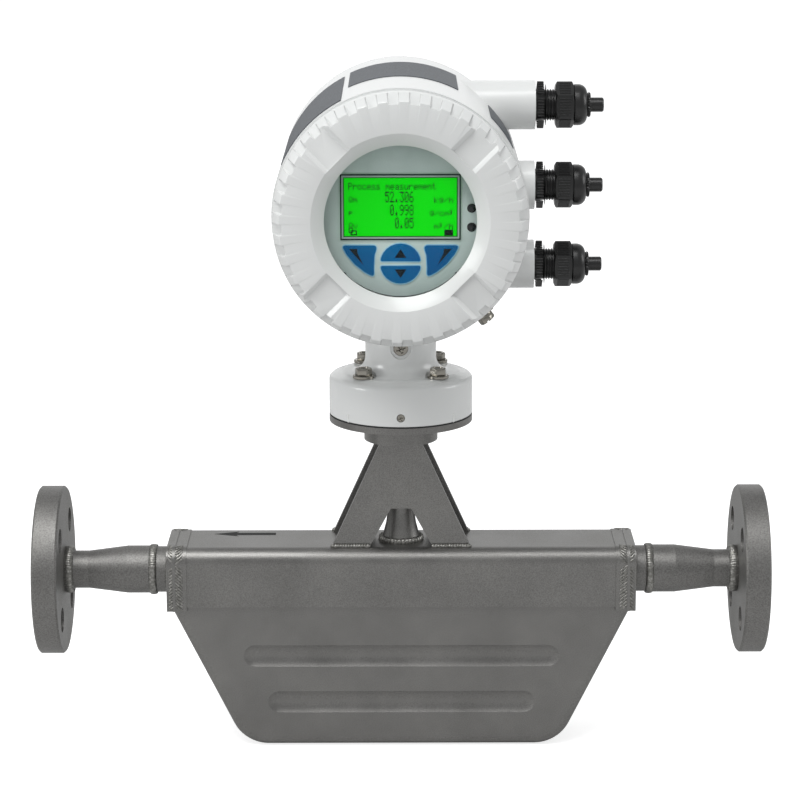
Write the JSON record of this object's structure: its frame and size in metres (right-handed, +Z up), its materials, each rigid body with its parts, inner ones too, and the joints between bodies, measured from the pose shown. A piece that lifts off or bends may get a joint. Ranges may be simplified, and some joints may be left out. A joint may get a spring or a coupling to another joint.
{
  "type": "coriolis flow meter",
  "caption": "Twin-tube coriolis mass flow meter with flanged ends, a pressed steel sensor case on its pipe line and a round two-compartment display head on a tower.",
  "frame": {"origin": "centre of the inlet flange's sealing face, on the pipe axis", "axes": "+X out of the inlet flange along the pipe, flow runs towards -X; the display faces -Y; +Z up through the tower and head"},
  "size_m": [0.413, 0.2, 0.377],
  "materials": {
    "blasted_steel": "bead-blasted stainless steel, matt grey",
    "bright_steel": "bright stainless steel",
    "coil": "enamelled copper winding",
    "magnet": "nickel-plated magnet and cup",
    "white_coat": "off-white powder coat, satin, on cast aluminium",
    "rubber": "black rubber",
    "polyamide": "black polyamide, semi-gloss",
    "board": "green circuit board",
    "face_plate": "grey-green printed face plate",
    "lcd": "lit green display",
    "key_film": "blue printed film",
    "terminals": "dark grey-green plastic",
    "glass": "clear flat glass",
    "retainer": "black anodised ring"
  },
  "bodies": {
    "sensor": {"inlet_flange": "blasted_steel", "outlet_flange": "blasted_steel", "inlet_reducer": "blasted_steel", "outlet_reducer": "blasted_steel", "inlet_manifold": "blasted_steel", "outlet_manifold": "blasted_steel", "inlet_end_cap": "blasted_steel", "outlet_end_cap": "blasted_steel", "case_channel": "blasted_steel", "pan_front": "blasted_steel", "pan_rear": "blasted_steel", "tower_front_plate": "blasted_steel", "tower_rear_plate": "blasted_steel", "conduit": "blasted_steel", "mounting_disc": "blasted_steel", "front_flow_tube": "bright_steel", "rear_flow_tube": "bright_steel", "inlet_node_plates": "bright_steel", "outlet_node_plates": "bright_steel", "collar_bolts": "bright_steel", "collar_set_screw": "bright_steel", "lock_screw": "bright_steel", "drive_coil": "coil", "inlet_pickoff_coil": "coil", "outlet_pickoff_coil": "coil", "drive_magnet": "magnet", "inlet_pickoff_magnet": "magnet", "outlet_pickoff_magnet": "magnet", "disc_gasket": "rubber", "neck_collar": "white_coat"},
    "head": {"head_housing": "white_coat", "neck_o_ring": "rubber", "display_carrier": "face_plate", "lcd_panel": "lcd", "key_film": "key_film", "display_board": "board", "main_board": "board", "board_pillars": "bright_steel", "terminal_block": "terminals", "earth_terminal": "bright_steel", "top_gland_body": "polyamide", "middle_gland_body": "polyamide", "lower_gland_body": "polyamide"},
    "front_cover_carrier": {"front_cover_o_ring": "rubber"},
    "front_cover": {"front_cover": "white_coat", "front_glass": "glass", "glass_retainer": "retainer"},
    "rear_cover_carrier": {"rear_cover_o_ring": "rubber"},
    "rear_cover": {"rear_cover": "white_coat"},
    "top_gland_carrier": {"top_gland_seal": "rubber", "top_gland_plug": "polyamide"},
    "top_gland_nut": {"top_gland_nut": "polyamide"},
    "middle_gland_carrier": {"middle_gland_seal": "rubber", "middle_gland_plug": "polyamide"},
    "middle_gland_nut": {"middle_gland_nut": "polyamide"},
    "lower_gland_carrier": {"lower_gland_seal": "rubber", "lower_gland_plug": "polyamide"},
    "lower_gland_nut": {"lower_gland_nut": "polyamide"}
  },
  "joints": [
    {"name": "head_swivel", "type": "hinge", "parent": "sensor", "child": "head", "pos_m": [-0.2065, 0, 0.125], "axis": [0, 0, 1], "range_deg": [-165, 165]},
    {"name": "front_cover_travel", "type": "slide", "parent": "head", "child": "front_cover_carrier", "axis": [0, -1, 0], "range_m": [0, 0.012]},
    {"name": "front_cover_turn", "type": "hinge", "parent": "front_cover_carrier", "child": "front_cover", "pos_m": [-0.2065, -0.06, 0.21], "axis": [0, -1, 0], "range_deg": [0, 2160]},
    {"name": "rear_cover_travel", "type": "slide", "parent": "head", "child": "rear_cover_carrier", "axis": [0, 1, 0], "range_m": [0, 0.012]},
    {"name": "rear_cover_turn", "type": "hinge", "parent": "rear_cover_carrier", "child": "rear_cover", "pos_m": [-0.2065, 0.06, 0.21], "axis": [0, 1, 0], "range_deg": [0, 2160]},
    {"name": "top_gland_travel", "type": "slide", "parent": "head", "child": "top_gland_carrier", "axis": [1, 0, 0], "range_m": [0, 0.0045]},
    {"name": "top_gland_turn", "type": "hinge", "parent": "top_gland_carrier", "child": "top_gland_nut", "pos_m": [-0.1065, 0.065, 0.256], "axis": [1, 0, 0], "range_deg": [0, 1080]},
    {"name": "middle_gland_travel", "type": "slide", "parent": "head", "child": "middle_gland_carrier", "axis": [1, 0, 0], "range_m": [0, 0.0045]},
    {"name": "middle_gland_turn", "type": "hinge", "parent": "middle_gland_carrier", "child": "middle_gland_nut", "pos_m": [-0.1065, 0.065, 0.21], "axis": [1, 0, 0], "range_deg": [0, 1080]},
    {"name": "lower_gland_travel", "type": "slide", "parent": "head", "child": "lower_gland_carrier", "axis": [1, 0, 0], "range_m": [0, 0.0045]},
    {"name": "lower_gland_turn", "type": "hinge", "parent": "lower_gland_carrier", "child": "lower_gland_nut", "pos_m": [-0.1065, 0.065, 0.164], "axis": [1, 0, 0], "range_deg": [0, 1080]}
  ],
  "couplings": [
    {"joint": "front_cover_travel", "follows": "front_cover_turn", "m_per_rad": 0.00031831},
    {"joint": "rear_cover_travel", "follows": "rear_cover_turn", "m_per_rad": 0.00031831},
    {"joint": "top_gland_turn", "follows": "top_gland_travel", "rad_per_m": 4188.8},
    {"joint": "middle_gland_turn", "follows": "middle_gland_travel", "rad_per_m": 4188.8},
    {"joint": "lower_gland_turn", "follows": "lower_gland_travel", "rad_per_m": 4188.8}
  ]
}
